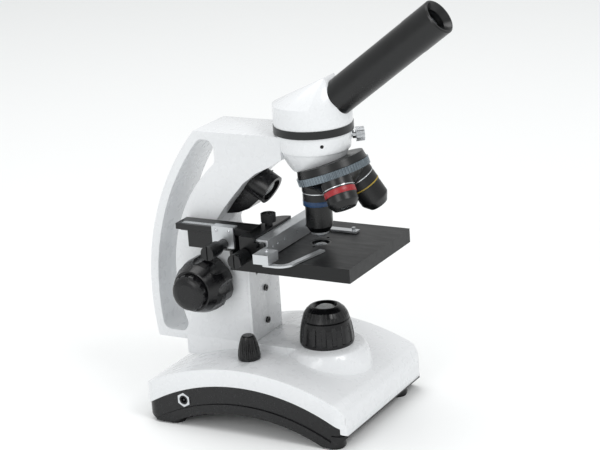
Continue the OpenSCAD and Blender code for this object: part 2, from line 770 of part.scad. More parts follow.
// Rack outline: pitch line on the X axis, teeth towards +Y, one gap centred at 0
module rack_2d(m, n0, n1, back) {
    p = PI * m;
    flank = [[-0.95, -1.1], [-0.55, 0], [-0.3, 0.7], [0.3, 0.7], [0.55, 0], [0.95, -1.1]];
    teeth = [for (i = [n0:n1], q = flank) [(i + 0.5) * p + q[0] * m, q[1] * m]];
    polygon(concat([[n0 * p, -back]], [[n0 * p, -1.1 * m]], teeth, [[(n1 + 1) * p, -1.1 * m]],
        [[(n1 + 1) * p, -back]]));
}

module coarse_shaft() color(SILVER) place() difference() {
    union() {
        x_cyl(hub_r, -knob_x - fine_x + 1.5, knob_x + fine_x - 1.5, focus_y, focus_z);
        translate([-5, focus_y, focus_z]) rotate([90, 0, 90]) linear_extrude(10)
            pinion_2d(pinion_teeth, tooth_module);
    }
    x_cyl(fine_shaft_r + run_fit, -knob_x - fine_x, knob_x + fine_x, focus_y, focus_z);
}

module coarse_knobs() color(BLACK) place() for (s = [-1, 1]) translate([0, focus_y, focus_z])
    rotate([0, s * 90, 0]) translate([0, 0, knob_x]) difference() {
    union() {
        cylinder(r = 14, h = 6);
        translate([0, 0, 5.5]) rotate_extrude()
            polygon([[0, 0], [coarse_r - 1.6, 0], [coarse_r, 1.6], [coarse_r, 13], [coarse_r - 0.8, 18],
            [coarse_r - 2.6, 23], [fine_r + 3, 28.5], [fine_r + 2, 30.6], [fine_r + 1.2, 31], [0, 31]]);
    }
    translate([0, 0, 4.5]) flutes(8, coarse_r + 6.8, 9, 36);
    translate([0, 0, -5]) cylinder(r = hub_r + press, h = 40);
    translate([0, 0, fine_x - 0.5]) cylinder(r = fine_r + gap, h = 10);
}

module fine_shaft() color(SILVER) place()
    x_cyl(fine_shaft_r, -knob_x - fine_x - 6, knob_x + fine_x + 6, focus_y, focus_z);

module fine_knobs() color(BLACK) place() for (s = [-1, 1]) translate([0, focus_y, focus_z])
    rotate([0, s * 90, 0]) translate([0, 0, knob_x + fine_x]) difference() {
    rotate_extrude() polygon([[0, 0], [fine_r, 0], [fine_r, 6], [fine_r - 0.6, 7.8], [fine_r - 2, 9.4],
        [fine_r - 4.2, 10.4], [fine_r - 7, 11], [0, 11]]);
    translate([0, 0, -1]) cylinder(r = fine_shaft_r + press, h = 8);
    translate([0, 0, 3.4]) flutes(12, fine_r + 2.4, 3.4, 30);
}

// Carriage that the focus rack lifts, with the groove for the fine slide
module stage_carriage() color(SILVER) place() translate([0, 0, 98]) difference() {
    linear_extrude(39) polygon([[-carriage_w / 2, carriage_y], [carriage_w / 2, carriage_y],
        [carriage_w / 2 + 3, carriage_y + carriage_t], [-carriage_w / 2 - 3, carriage_y + carriage_t]]);
    box([-4 - run_fit, carriage_y - 1, -1], [4 + run_fit, carriage_y + 4, 50]);
}

module focus_rack() color(BRASS) place() translate([4.5, rack_y, focus_z]) rotate([0, -90, 0])
    linear_extrude(9) rack_2d(tooth_module, -8, 7, rack_y - carriage_y - carriage_t);

// ---- stage ----

module stage_plate() color(DARK) place() difference() {
    translate([-stage_w / 2, -stage_w / 2 + 0.2, stage_z - skirt_h]) cube([stage_w, stage_w, skirt_h]);
    translate([-stage_w / 2 + 4, -stage_w / 2 + 4.2, stage_z - skirt_h - 1])
        cube([stage_w - 8, stage_w - 8, skirt_h - 3]);
    translate([0, 0, stage_z - 10]) cylinder(r = aperture_r, h = 20);
    for (x = [-1, 1]) translate([x * (aperture_r + 3.5), 0, stage_z - 2]) cylinder(r = 1.3, h = 3);
}

module stage_bracket() color(DARK) place() {
    box([-bracket_w / 2, 41, bracket_z0 - 2], [bracket_w / 2, carriage_y - 0.3, stage_z - skirt_h - 1]);
    box([-bracket_w / 2, 41, bracket_z0], [bracket_w / 2, 50, stage_z - 4]);
    box([-4, carriage_y - 0.5, bracket_z0 - 2], [4, carriage_y + 3.5, stage_z - skirt_h - 1]);
}

// Condenser under the stage, with the pivot of the diaphragm disc
module condenser() color(BLACK) place() difference() {
    union() {
        translate([0, 0, stage_z - 7]) cylinder(r = 23, h = 3);
        translate([0, 0, stage_z - 19.8]) cylinder(r = 12, h = 15.8);
        translate([0, 0, stage_z - 10.3]) cylinder(r = aperture_r - 0.1, h = 10.1);
        translate([0, disc_y, stage_z - 19.8]) cylinder(r = 3, h = 14);
        translate([0, disc_y, stage_z - 23.7]) cylinder(r = 2, h = 5);
        translate([0, disc_y, stage_z - 24.3]) cylinder(r = 3.6, h = 1.7);
    }
    translate([0, 0, stage_z - 30]) cylinder(r = lens_r, h = 40);
}

module condenser_lens() color(GLASS) place() translate([0, 0, stage_z - 6]) intersection() {
    cylinder(r = lens_r, h = 5.5);
    translate([0, 0, -8.5]) sphere(14);
}

module disc_diaphragm() color(DARK) place() translate([0, disc_y, stage_z - 22.3]) difference() {
    cylinder(r = 22.3, h = 2.2);
    translate([0, 0, -1]) cylinder(r = 2 + run_fit, h = 5);
    for (i = [0:5]) rotate([0, 0, i * 60]) translate([0, -disc_y, -1]) cylinder(r = 1 + i * 0.8, h = 5);
}

// ---- slide holder ----

// Foot of the slide holder: angle bracket behind the stage and the guide block
module holder_base() color(BLACK) place() difference() {
    union() {
        box([rail_x0 - 5, stage_w / 2 + 0.2, stage_z - 9.8], [rail_x1 - 1, stage_w / 2 + 3, stage_z + 2]);
        box([rail_x0 + 0.5, stage_w / 2 + 0.2, stage_z + 0.2],
            [rail_x1 - 1, 101, rail_z - rail_t - gap]);
    }
    box([runner_x0 - run_fit, 50, y_knob_at[2] + 2.2], [runner_x1 + run_fit, 110, rail_z + 10]);
    x_cyl(3.9, runner_x0 - run_fit, runner_x1 + run_fit, y_knob_at[1], y_knob_at[2]);
    x_cyl(2 + run_fit, rail_x0 - 15, rail_x1 - 3, y_knob_at[1], y_knob_at[2]);
}

module holder_gib() color(SILVER) place() difference() {
    union() {
        box([rail_x0 - 1.6, gib_y0, stage_z + 3.2], [rail_x0 - 0.3, gib_y1, rail_z + 1.3]);
        box([rail_x0 - 1.6, gib_y0, rail_z + gap], [rail_x0 + 6, gib_y1, rail_z + 1.5]);
        box([rail_x0 - 0.4, gib_y0, stage_z + 3.2], [rail_x0 + 0.5, gib_y1, rail_z - rail_t - 0.6]);
    }
    x_cyl(2.2, rail_x0 - 15, rail_x1 - 3, y_knob_at[1], y_knob_at[2]);
}

module y_rail() color(BLACK) place() difference() {
    union() {
        box([rail_x0, bar_y + 25.2, rail_z - rail_t], [rail_x1, 112, rail_z]);
        box([runner_x0, 47, y_knob_at[2] + 5 - e], [runner_x1, 112, rail_z - rail_t + e]);
        translate([runner_x1, y_knob_at[1], y_knob_at[2] + 3]) rotate([-90, 0, 90]) linear_extrude(4)
            rack_2d(0.5, -10, 8, 2);
    }
    box([rail_x0 + 3, 60, rail_z - 0.4], [rail_x0 + 8, 108, rail_z + 1]);
}

module x_guide() color(BLACK) place() difference() {
    union() {
        box([-55, bar_y + 2.3, bar_z0], [8, bar_y + 11.3, bar_z1 - 2.3]);
        box([-55, bar_y + 11.3 - e, bar_z0], [-4, bar_y + 25, bar_z0 + 17]);
        translate([-4, bar_y + 11.3 - e, bar_z0]) intersection() {
            cube([12, 13.7, 17]);
            translate([-2, 0, -1]) cylinder(r = 13.6, h = 30);
        }
        box([rail_x0, bar_y + 20, rail_z - 7], [rail_x1, bar_y + 25.2, rail_z]);
    }
    box([-56, bar_y + 6 - run_fit, bar_z0 + 8.7], [9, bar_y + 9 + run_fit, bar_z0 + 29]);
    box([-33, bar_y + 6 - run_fit, bar_z0 - 11], [-1, bar_y + 9 + run_fit, bar_z0 + 29]);
    box([-33, bar_y + 8, bar_z0 - 11], [-1, bar_y + 23.3, bar_z0 + 4.4]);
    x_cyl(1.9 + run_fit, -60, 5, x_knob_at[1], x_knob_at[2]);
    translate([screw_at[0], screw_at[1], bar_z0 + 9]) cylinder(r = 2 + run_fit, h = 20);
}

// Knurled screw that locks the guide to its rail
module guide_screw() color(DARK) place() translate([screw_at[0], screw_at[1], bar_z0]) {
    translate([0, 0, 10]) cylinder(r = 2, h = 12);
    translate([0, 0, 17.1]) cylinder(r = 3.2, h = 3.4);
    translate([0, 0, 20.4]) difference() {
        cylinder(r = 6.3, h = 7);
        flutes(28, 6.6, 0.55, 7);
    }
}

// Silver angle bar that pushes the slide along
module x_bar() color(SILVER) place() difference() {
    union() {
        box([bar_x0, bar_y, bar_z0], [bar_x1, bar_y + 2, bar_z1]);
        box([bar_x0, bar_y, bar_z1 - 2], [bar_x1, bar_y + 11, bar_z1]);
        box([bar_x0 + 2, bar_y + 6, bar_z0 + 9], [bar_x1 - 2, bar_y + 9, bar_z1 - 1]);
        box([-22, bar_y + 6, bar_z0 + 0.1], [-12, bar_y + 9, bar_z0 + 10]);
        box([-22, bar_y + 8, bar_z0 + 0.1], [-12, bar_y + 23, bar_z0 + 4.1]);
    }
    x_cyl(1.9 + run_fit, -60, 5, x_knob_at[1], x_knob_at[2]);
    for (x = [-44, -36, -24, -4, 12, 30]) translate([x, bar_y - 1, bar_z0 + 8]) rotate([-90, 0, 0])
        cylinder(r = 1.2, h = 2);
}

// Block at the end of the bar with the pivot of the sprung finger
module end_block() color(SILVER) place() {
    box([-73.5, bar_y - 12, bar_z0 + 2], [bar_x0 - 5, bar_y + 2, bar_z0 + 10]);
    box([bar_x0 - 5 - e, bar_y, bar_z0 + 2], [bar_x0, bar_y + 2, bar_z0 + 10]);
    translate([finger_pin[0], finger_pin[1], bar_z0 - 0.6]) cylinder(r = 1.5, h = 5);
}

module fixed_finger() color(SILVER) place() {
    box([27, -19, bar_z0], [34, bar_y, bar_z0 + 1.6]);
    translate([30.5, -15, bar_z0]) cylinder(r = 1.6, h = 4.2);
}

// Curved finger that holds the slide against the bar
module spring_finger() color(SILVER) place() translate([0, 0, bar_z0 - 0.2]) difference() {
    union() {
        translate([finger_pin[0], finger_pin[1], 0]) cylinder(r = 3.6, h = 1.6);
        box([-71.6, 4, 0], [-66.6, 13, 1.6]);
        translate([-58.6, 4, 0]) intersection() {
            difference() {
                cylinder(r = 13, h = 1.6);
                translate([0, 0, -1]) cylinder(r = 8, h = 4);
            }
            translate([-20, -20, -1]) cube([20, 20 + e, 4]);
        }
        translate([-58.8, -9, 0]) rotate([0, 0, -11]) cube([37, 5, 1.6]);
    }
    translate([finger_pin[0], finger_pin[1], -1]) cylinder(r = 1.5 + run_fit, h = 5);
}

module travel_knob(face, x1, at) difference() {
    x_cyl(small_knob_r, face, x1, at[1], at[2]);
    translate([face - 1, at[1] - 0.6, at[2] - 7]) cube([1.8, 1.2, 14]);
    translate([face + 2, at[1], at[2]]) rotate([0, 90, 0]) flutes(30, small_knob_r + 0.25, 0.5, 9);
}

module y_knob() color(BLACK) place() {
    travel_knob(small_knob_face, -58, y_knob_at);
    x_cyl(4.5, -58 - e, rail_x0 - 1.9, y_knob_at[1], y_knob_at[2]);
    x_cyl(2, rail_x0 - 2, rail_x1 - 5, y_knob_at[1], y_knob_at[2]);
    translate([runner_x0 + 0.1, y_knob_at[1], y_knob_at[2]]) rotate([90, 0, 90]) linear_extrude(3.8) rotate(15)
        pinion_2d(12, 0.5);
}

module x_knob() color(BLACK) place() {
    travel_knob(small_knob_face, -57, x_knob_at);
    x_cyl(1.9, -57 - e, 4, x_knob_at[1], x_knob_at[2]);
}

base_casting();
base_tray();
rubber_feet();
tray_screws();
power_jack();
panel_nuts();
power_board();
dimmer_pot();
dimmer_shaft();
dimmer_knob();
lamp_heatsink();
led_boards();
lamp_housing();
lamp_collar();
lamp_lens();
arm();
front_cover();
socket_screws();
slide_gibs();
top_lamp_body();
top_lamp_lens();
nosepiece_mount();
turret_screw();
head_lock_screw();
head_ring();
head_housing();
prism();
eyepiece_tube();
eyepiece_body();
eye_lens();
field_lens();
turret_disc();
turret_ring();
objective_low();
objective_mid();
objective_high();
objective_lenses();
objective_nose();
coarse_shaft();
coarse_knobs();
fine_shaft();
fine_knobs();
stage_carriage();
focus_rack();
stage_plate();
stage_bracket();
condenser();
condenser_lens();
disc_diaphragm();
holder_base();
holder_gib();
y_rail();
x_guide();
guide_screw();
x_bar();
end_block();
fixed_finger();
spring_finger();
y_knob();
x_knob();
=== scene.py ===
"""Finished surfaces for a monocular student microscope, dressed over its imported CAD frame."""

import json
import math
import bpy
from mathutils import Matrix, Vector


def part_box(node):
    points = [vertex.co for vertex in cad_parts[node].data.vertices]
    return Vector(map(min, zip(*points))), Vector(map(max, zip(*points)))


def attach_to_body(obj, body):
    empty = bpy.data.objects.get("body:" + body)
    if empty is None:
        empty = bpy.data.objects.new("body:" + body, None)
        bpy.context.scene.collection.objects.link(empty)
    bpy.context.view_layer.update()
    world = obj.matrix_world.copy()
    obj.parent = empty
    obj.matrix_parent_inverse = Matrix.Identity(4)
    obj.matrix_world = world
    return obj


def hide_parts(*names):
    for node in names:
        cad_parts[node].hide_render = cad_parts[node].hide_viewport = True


bl_info = {
    "name": "Monocular Microscope",
    "version": (1, 0, 0),
    "blender": (4, 5, 0),
    "location": "View3D > Sidebar > Microscope",
    "description": "Adds finished pieces and materials to the microscope's CAD frame",
    "category": "Add Mesh",
}

import bmesh
import bpy
from mathutils import Matrix, Vector

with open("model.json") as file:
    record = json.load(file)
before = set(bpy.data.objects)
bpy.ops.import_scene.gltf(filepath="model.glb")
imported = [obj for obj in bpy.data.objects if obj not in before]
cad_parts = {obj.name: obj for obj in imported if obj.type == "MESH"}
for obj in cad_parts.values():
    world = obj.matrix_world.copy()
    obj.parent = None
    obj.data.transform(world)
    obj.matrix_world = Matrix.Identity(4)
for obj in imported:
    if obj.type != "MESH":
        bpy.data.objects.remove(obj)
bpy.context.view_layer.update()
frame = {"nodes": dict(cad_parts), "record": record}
MM = 0.001

# Corners of a CAD mesh closer than this many metres are one corner, and faces that meet at less
# than this many degrees are one face.
WELD_DISTANCE = 2e-6
FLAT_DEGREES = 0.6

BODY_OF = {
    node: body
    for body, nodes in frame["record"]["behaviour"]["bodies"].items()
    for node in nodes
}


def linear(hex_colour):
    """An sRGB hex colour as linear RGBA."""
    channels = [int(hex_colour[i : i + 2], 16) / 255 for i in (1, 3, 5)]
    return tuple(
        c / 12.92 if c <= 0.04045 else ((c + 0.055) / 1.055) ** 2.4 for c in channels
    ) + (1.0,)


def colour(name, hex_colour, description):
    """A colour that the user may change."""
    return bpy.props.FloatVectorProperty(
        name=name, description=description, size=4, subtype="COLOR", min=0, max=1,
        default=linear(hex_colour),
    )


def length(name, default_mm, description):
    """A length that the user may change."""
    return bpy.props.FloatProperty(
        name=name, description=description, default=default_mm * MM, min=0, unit="LENGTH", precision=4
    )


# ---- settings ----


class MicroscopeFinish(bpy.types.PropertyGroup):
    enamel: colour("Enamel", "#e3e5e7", "Gloss enamel of the castings")
    moulded: colour("Moulded black", "#08080a", "ABS of knobs, lamps and tray")
    anodised: colour("Anodised black", "#060708", "Anodised tube, objectives and slide holder")
    table: colour("Stage black", "#0b0c0d", "Satin paint of the stage")
    low_ring: colour("Low power ring", "#9c1f26", "Colour ring of the low-power objective")
    mid_ring: colour("Medium power ring", "#a98f2a", "Colour ring of the medium-power objective")
    high_ring: colour("High power ring", "#1a3f68", "Colour ring of the high-power objective")


class MicroscopeEdges(bpy.types.PropertyGroup):
    casting: length("Casting edge", 1.6, "Rounding of the enamelled castings")
    handle: length("Handle edge", 2.6, "Rounding of the arm and the carrying handle")
    moulding: length("Moulding edge", 0.5, "Rounding of moulded parts")
    turned: length("Turned edge", 0.25, "Rounding of turned and milled metal parts")


class MicroscopeStudio(bpy.types.PropertyGroup):
    aim: bpy.props.FloatVectorProperty(
        name="Aim", description="Point the camera looks at", subtype="XYZ", unit="LENGTH",
        default=(-0.0327, -0.01517, 0.17526),
    )
    azimuth: bpy.props.FloatProperty(
        name="Azimuth", description="Camera direction round the object", subtype="ANGLE",
        default=math.radians(-60.06),
    )
    elevation: bpy.props.FloatProperty(
        name="Elevation", description="Camera height above the horizon", subtype="ANGLE",
        default=math.radians(17.58),
    )
    roll: bpy.props.FloatProperty(
        name="Roll", description="Tilt of the camera", subtype="ANGLE", default=math.radians(3.9)
    )
    distance: length("Distance", 1519.4, "Camera distance from the aim point")
    lens: bpy.props.FloatProperty(
        name="Lens", description="Focal length in millimetres", default=112.88, min=20
    )
    backdrop: colour("Backdrop", "#f7f8f8", "Plain floor and surroundings")


# ---- material building ----


def add(tree, kind, sockets=None, **settings):
    """Adds a node with its settings, and fills or links its sockets."""
    made = tree.nodes.new(kind)
    for key, value in settings.items():
        setattr(made, key, value)
    for key, value in (sockets or {}).items():
        if isinstance(value, bpy.types.NodeSocket):
            tree.links.new(value, made.inputs[key])
        else:
            made.inputs[key].default_value = value
    return made


def new_material(name):
    """An empty material and its place on the piece in metres."""
    made = bpy.data.materials.new(name)
    made.use_nodes = True
    made.node_tree.nodes.clear()
    return made, made.node_tree, add(made.node_tree, "ShaderNodeTexCoord").outputs["Object"]


def close(tree, sockets):
    """Ends a material in one Principled shader."""
    surface = add(tree, "ShaderNodeBsdfPrincipled", sockets)
    add(tree, "ShaderNodeOutputMaterial", {"Surface": surface.outputs["BSDF"]})


def noise(tree, where, size_mm, detail=2.0, rough=0.5):
    """Noise whose grain is size_mm across."""
    return add(
        tree,
        "ShaderNodeTexNoise",
        {"Vector": where, "Scale": 1 / (size_mm * MM), "Detail": detail, "Roughness": rough},
    ).outputs["Fac"]


def span(tree, fac, low, high, start=0.3, end=0.7):
    """Turns a 0 to 1 pattern into the range low to high."""
    return add(
        tree,
        "ShaderNodeMapRange",
        {"Value": fac, "From Min": start, "From Max": end, "To Min": low, "To Max": high},
    ).outputs["Result"]


def blend_colour(tree, fac, first, second):
    """Mixes two colours by a pattern."""
    mix = add(tree, "ShaderNodeMix", {0: fac, 6: first, 7: second}, data_type="RGBA")
    return mix.outputs[2]


def relief(tree, height, depth_mm, strength=1.0):
    """Bump of the given depth."""
    sockets = {"Height": height, "Distance": depth_mm * MM, "Strength": strength}
    return add(tree, "ShaderNodeBump", sockets).outputs["Normal"]


def shade(rgba, factor):
    """A lighter or darker version of a colour."""
    return tuple(min(1.0, c * factor) for c in rgba[:3]) + (1.0,)


def stretched(tree, where, scale):
    """Coordinates scaled along each axis, for drawn or brushed grain."""
    return add(tree, "ShaderNodeMapping", {"Vector": where, "Scale": scale}).outputs["Vector"]


MATERIALS = {}


def make_materials(scene):
    """Builds every finish once."""
    look = scene.microscope_finish

    # Gloss stoving enamel on a zinc casting: sprayed and baked, so it reflects softly with a faint
    # orange peel about 1.5 mm across, and its white drifts very slightly over each panel.
    mat, tree, where = new_material("gloss_enamel")
    drift = noise(tree, where, 45, 2)
    peel = noise(tree, where, 1.5, 1)
    close(tree, {
        "Base Color": blend_colour(
            tree, span(tree, drift, 0, 1), look.enamel, shade(look.enamel, 0.985)
        ),
        "Roughness": span(tree, noise(tree, where, 8), 0.26, 0.3),
        "IOR": 1.5,
        "Coat Weight": 0.35,
        "Coat Roughness": 0.08,
        "Normal": relief(tree, peel, 0.005),
    })
    MATERIALS["white_paint"] = mat

    # Injection-moulded ABS from a spark-eroded tool: deep black with a 0.5 mm pebble grain that
    # spreads highlights, slightly polished where fingers turn it.
    mat, tree, where = new_material("moulded_abs")
    pebble = add(
        tree, "ShaderNodeTexVoronoi", {"Vector": where, "Scale": 1 / (0.55 * MM)}
    ).outputs["Distance"]
    handled = noise(tree, where, 9, 3)
    close(tree, {
        "Base Color": blend_colour(
            tree, span(tree, handled, 0, 1), look.moulded, shade(look.moulded, 1.7)
        ),
        "Roughness": span(tree, handled, 0.2, 0.32),
        "IOR": 1.52,
        "Specular IOR Level": 0.4,
        "Normal": relief(tree, pebble, 0.02, 0.6),
    })
    MATERIALS["black_plastic"] = mat

    # Plain moulded socket plastic, matt and fine-grained.
    mat, tree, where = new_material("matt_moulding")
    grain = noise(tree, where, 0.5, 2)
    close(tree, {
        "Base Color": blend_colour(tree, grain, linear("#121214"), linear("#1d1e20")),
        "Roughness": span(tree, grain, 0.5, 0.65),
        "Normal": relief(tree, grain, 0.02, 0.5),
    })
    MATERIALS["black_matte"] = mat

    # Natural rubber feet: dull black, dusty, with a soft skin.
    mat, tree, where = new_material("foot_rubber")
    dust = noise(tree, where, 2.5, 4, 0.7)
    dusty = span(tree, dust, 0, 1, 0.45, 0.8)
    close(tree, {
        "Base Color": blend_colour(tree, dusty, linear("#0b0b0c"), linear("#29292a")),
        "Roughness": span(tree, dust, 0.7, 0.9),
        "IOR": 1.52,
        "Normal": relief(tree, dust, 0.06, 0.5),
    })
    MATERIALS["rubber"] = mat

    # Turned free-cutting steel: bright with fine tool rings about 0.25 mm apart.
    mat, tree, where = new_material("turned_steel")
    tool = noise(tree, stretched(tree, where, (9.0, 1.0, 1.0)), 2.2, 3)
    close(tree, {
        "Base Color": blend_colour(tree, tool, linear("#8f9296"), linear("#c2c4c6")),
        "Metallic": 1.0,
        "Roughness": span(tree, tool, 0.22, 0.36),
        "Normal": relief(tree, tool, 0.01, 0.4),
    })
    MATERIALS["steel"] = mat

    # Nickel-chrome plate over knurled brass: mirror bright, dulled a little by handling.
    mat, tree, where = new_material("chrome_plate")
    haze = noise(tree, where, 5, 3)
    close(tree, {
        "Base Color": blend_colour(tree, haze, linear("#c4c7cb"), linear("#dfe1e3")),
        "Metallic": 1.0,
        "Roughness": span(tree, haze, 0.12, 0.24),
    })
    MATERIALS["chrome"] = mat

    # Chrome on the grip of the nosepiece, darkened and tinted blue-grey as a painted reflection of
    # dark surroundings: darker and bluer than chrome.
    mat, tree, where = new_material("chrome_painted_dark_reflection")
    haze = noise(tree, where, 4, 3)
    close(tree, {
        "Base Color": blend_colour(tree, haze, linear("#646e76"), linear("#8b959c")),
        "Metallic": 1.0,
        "Roughness": span(tree, haze, 0.16, 0.3),
    })
    MATERIALS["dark_reflection_chrome"] = mat

    # Etched scale: satin aluminium with black lines 1 mm apart. A wave texture repeats every
    # pi / (10 * Scale).
    mat, tree, where = new_material("etched_scale")
    ruled = add(tree, "ShaderNodeTexWave", {
        "Vector": where, "Scale": math.pi / (10 * MM), "Distortion": 0.0,
    }, bands_direction="Y").outputs["Fac"]
    inked = span(tree, ruled, 0, 1, 0.75, 0.95)
    close(tree, {
        "Base Color": blend_colour(tree, inked, linear("#c9ccce"), linear("#26282a")),
        "Metallic": 0.6,
        "Roughness": span(tree, ruled, 0.3, 0.45),
    })
    MATERIALS["scale"] = mat

    # Satin-brushed aluminium: grain drawn along X, 0.3 mm between lines, that streaks highlights.
    mat, tree, where = new_material("brushed_aluminium")
    lines = noise(tree, stretched(tree, where, (0.04, 1.0, 1.0)), 0.3, 3, 0.6)
    cloud = noise(tree, where, 12, 2)
    close(tree, {
        "Base Color": blend_colour(tree, lines, linear("#b4b8bb"), linear("#dddfe1")),
        "Metallic": 0.85,
        "Roughness": span(tree, cloud, 0.3, 0.42),
        "Anisotropic": 0.4,
        "Normal": relief(tree, lines, 0.008, 0.5),
    })
    MATERIALS["aluminium"] = mat

    # Machined brass of slide strips and rack: warm and slightly tarnished.
    mat, tree, where = new_material("machined_brass")
    tarnish = noise(tree, where, 6, 4)
    close(tree, {
        "Base Color": blend_colour(tree, tarnish, linear("#b08a3e"), linear("#d9b866")),
        "Metallic": 1.0,
        "Roughness": span(tree, tarnish, 0.25, 0.45),
    })
    MATERIALS["brass"] = mat

    # Hard black anodising on turned aluminium: satin, faintly blue-grey where light grazes it,
    # with a bead-blasted grain of 0.4 mm.
    mat, tree, where = new_material("black_anodising")
    blast = noise(tree, where, 0.4, 2)
    wear = noise(tree, where, 14, 3)
    close(tree, {
        "Base Color": blend_colour(
            tree, span(tree, wear, 0, 1), look.anodised, shade(look.anodised, 1.8)
        ),
        "Roughness": span(tree, wear, 0.26, 0.36),
        "IOR": 1.6,
        "Specular IOR Level": 0.35,
        "Normal": relief(tree, blast, 0.012, 0.5),
    })
    MATERIALS["black_anodised"] = mat

    # Satin acrylic paint of the stage: a fine sprayed texture of 0.6 mm and faint rub marks
    # where slides move.
    mat, tree, where = new_material("stage_satin_paint")
    spray = noise(tree, where, 0.6, 2)
    rub = noise(tree, stretched(tree, where, (1.0, 0.25, 1.0)), 6, 4, 0.65)
    close(tree, {
        "Base Color": blend_colour(
            tree, span(tree, rub, 0, 1), look.table, shade(look.table, 1.45)
        ),
        "Roughness": span(tree, rub, 0.34, 0.46),
        "IOR": 1.5,
        "Specular IOR Level": 0.35,
        "Normal": relief(tree, spray, 0.02, 0.6),
    })
    MATERIALS["stage_black"] = mat

    # Polished crown glass with an anti-reflection coat that tints its gloss.
    mat, tree, where = new_material("coated_glass")
    coat = noise(tree, where, 6, 1)
    close(tree, {
        "Base Color": blend_colour(tree, coat, linear("#e6f0f6"), linear("#f2f4fa")),
        "Roughness": 0.03,
        "IOR": 1.52,
        "Transmission Weight": 0.92,
        "Coat Weight": 0.4,
        "Coat Roughness": 0.02,
    })
    MATERIALS["glass"] = mat

    # Frosted acrylic over the lamps: milky, scattering a little of its light.
    mat, tree, where = new_material("frosted_acrylic")
    frost = noise(tree, where, 0.7, 2)
    close(tree, {
        "Base Color": blend_colour(tree, frost, linear("#d6dadc"), linear("#f3f4f2")),
        "Roughness": span(tree, frost, 0.25, 0.45),
        "IOR": 1.49,
        "Transmission Weight": 0.35,
        "Normal": relief(tree, frost, 0.02, 0.5),
    })
    MATERIALS["frosted"] = mat

    # Glass-fibre circuit board under green solder resist, with tracks 0.6 mm apart.
    mat, tree, where = new_material("circuit_board")
    tracks = add(tree, "ShaderNodeTexBrick", {
        "Vector": where, "Scale": 1 / (2.4 * MM), "Mortar Size": 0.06,
        "Color1": linear("#0e4a2a"), "Color2": linear("#125834"), "Mortar": linear("#2a7a4c"),
    })
    close(tree, {"Base Color": tracks.outputs["Color"], "Roughness": 0.35, "IOR": 1.5})
    MATERIALS["board"] = mat

    # Phosphor and aluminium-core board of the light-emitting diodes.
    mat, tree, where = new_material("diode_phosphor")
    phosphor = noise(tree, where, 1.2, 2)
    close(tree, {
        "Base Color": blend_colour(tree, phosphor, linear("#d9cf8a"), linear("#f0ead0")),
        "Roughness": 0.4,
    })
    MATERIALS["led"] = mat

    # Enamel of the objectives' colour bands.
    for key in ("low_ring", "mid_ring", "high_ring"):
        mat, tree, where = new_material(key + "_enamel")
        fill = noise(tree, where, 1.6, 2)
        hue = tuple(getattr(look, key))
        close(tree, {
            "Base Color": blend_colour(tree, fill, hue, shade(hue, 0.86)),
            "Roughness": span(tree, fill, 0.25, 0.4),
            "IOR": 1.5,
        })
        MATERIALS[key] = mat


# ---- mesh building ----


def only(piece):
    """Leaves one object selected and active."""
    if bpy.context.mode != "OBJECT":
        bpy.ops.object.mode_set(mode="OBJECT")
    bpy.ops.object.select_all(action="DESELECT")
    piece.select_set(True)
    bpy.context.view_layer.objects.active = piece


def settle(piece):
    """Puts the place, turn and scale of a piece into its mesh."""
    only(piece)
    bpy.ops.object.transform_apply(location=True, rotation=True, scale=True)


def smooth(piece, degrees=32):
    """Smooth shading that keeps edges sharper than the given angle."""
    only(piece)
    bpy.ops.object.shade_smooth_by_angle(angle=math.radians(degrees))


def attach(piece, body, slot, material, *nodes):
    """Gives a finished piece its material, its body and the nodes that it stands for."""
    piece.data.materials.clear()
    piece.data.materials.append(MATERIALS[material])
    if nodes:
        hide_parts(*nodes)
    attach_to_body(piece, body)


def dress(material, *nodes):
    """Gives CAD nodes whose shape is final their material."""
    for name in nodes:
        piece = frame["nodes"][name]
        for slot in piece.material_slots:
            slot.material = MATERIALS[material]


def merged_copy(node, name):
    """A copy of a CAD node with its loose triangles joined into flat faces."""
    source = frame["nodes"][node]
    piece = bpy.data.objects.new(name, source.data.copy())
    bpy.context.scene.collection.objects.link(piece)
    only(piece)
    bpy.ops.object.mode_set(mode="EDIT")
    bpy.ops.mesh.select_all(action="SELECT")
    bpy.ops.mesh.remove_doubles(threshold=WELD_DISTANCE)
    bpy.ops.mesh.dissolve_limited(angle_limit=math.radians(FLAT_DEGREES))
    bpy.ops.object.mode_set(mode="OBJECT")
    return piece


def rounded(piece, width, degrees=38, segments=3):
    """Rounds the edges of a piece that are sharper than the given angle."""
    only(piece)
    bevel = piece.modifiers.new("Edge", "BEVEL")
    bevel.width = width
    bevel.segments = segments
    bevel.limit_method = "ANGLE"
    bevel.angle_limit = math.radians(degrees)
    bevel.use_clamp_overlap = True
    bevel.miter_outer = "MITER_ARC"
    bpy.ops.object.modifier_apply(modifier=bevel.name)


def soften(material, slot, width, *nodes):
    """Replaces CAD nodes by copies with rounded edges."""
    for node in nodes:
        piece = merged_copy(node, node + "_finished")
        rounded(piece, width)
        smooth(piece, 40)
        attach(piece, BODY_OF[node], slot, material, node)


def sleeve(name, centre, along, radius, height, wall):
    """A turned ring round an axis, open at both ends and rounded at its edges."""
    bpy.ops.object.select_all(action="DESELECT")
    bpy.ops.mesh.primitive_cylinder_add(
        vertices=96, radius=radius, depth=height, end_fill_type="NOTHING", location=centre,
        rotation=along.to_track_quat("Z", "Y").to_euler(),
    )
    piece = bpy.context.object
    piece.name = name
    shell = piece.modifiers.new("Wall", "SOLIDIFY")
    shell.thickness = wall
    shell.offset = -1
    bpy.ops.object.modifier_apply(modifier=shell.name)
    settle(piece)
    rounded(piece, wall / 4, 60, 2)
    smooth(piece)
    return piece


